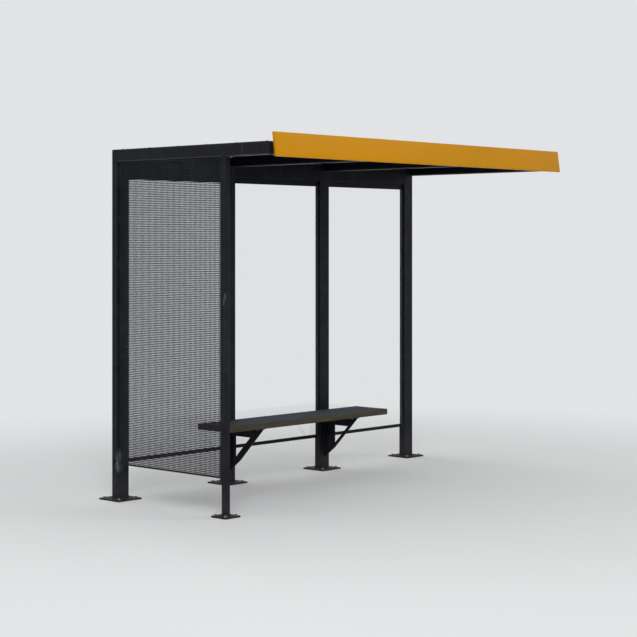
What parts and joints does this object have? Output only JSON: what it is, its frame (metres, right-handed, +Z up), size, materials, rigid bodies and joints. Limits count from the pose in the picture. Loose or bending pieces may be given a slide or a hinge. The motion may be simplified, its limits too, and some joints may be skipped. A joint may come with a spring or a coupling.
{
  "type": "bus shelter",
  "caption": "Roadside bus shelter with glazed rear wall, perforated side wall, flat cantilevered roof with a coloured front fascia, and a timber bench on brackets.",
  "frame": {"origin": "on the ground, under the middle of the shelter's bounding box", "axes": "+X along the shelter to the right as seen from the road, +Y to the rear, +Z up"},
  "size_m": [3.2, 1.5602, 2.391],
  "materials": {
    "post_paint": "satin anthracite paint",
    "foot_paint": "scuffed anthracite paint",
    "header_paint": "satin anthracite paint",
    "channel_paint": "satin anthracite paint",
    "channel_metal": "dull anodised",
    "glass": "clear toughened",
    "roof_paint": "satin anthracite paint",
    "roof_sheet_paint": "weathered anthracite paint",
    "fascia_paint": "satin mustard yellow paint",
    "sheet_paint": "satin anthracite paint",
    "bench_wood": "weathered oiled timber",
    "bracket_paint": "satin dark paint"
  },
  "bodies": {
    "root": {"rear_post_1": "post_paint", "rear_post_2": "post_paint", "rear_post_3": "post_paint", "rear_post_4": "post_paint", "front_post": "post_paint", "base_plate_1": "foot_paint", "base_plate_2": "foot_paint", "base_plate_3": "foot_paint", "base_plate_4": "foot_paint", "front_base_plate": "foot_paint", "header_1": "header_paint", "header_2": "header_paint", "header_3": "header_paint", "top_glazing_rail_1": "channel_paint", "top_glazing_rail_2": "channel_paint", "top_glazing_rail_3": "channel_paint", "lower_rail_1": "channel_paint", "lower_rail_2": "channel_paint", "lower_rail_3": "channel_paint", "side_channels_1": "channel_metal", "side_channels_2": "channel_metal", "side_channels_3": "channel_metal", "glass_1": "glass", "glass_2": "glass", "glass_3": "glass", "rafter_left": "roof_paint", "rafter_2": "roof_paint", "rafter_3": "roof_paint", "rafter_right": "roof_paint", "roof_end_caps": "roof_paint", "front_beam": "roof_paint", "roof_deck": "roof_sheet_paint", "fascia": "fascia_paint", "fascia_brackets": "roof_paint", "side_frame_rear": "post_paint", "side_frame_front": "post_paint", "side_frame_top": "post_paint", "side_frame_bottom": "post_paint", "perforated_sheet": "sheet_paint", "bench_board": "bench_wood", "bench_bracket_2": "bracket_paint", "bench_bracket_3": "bracket_paint"}
  },
  "joints": []
}
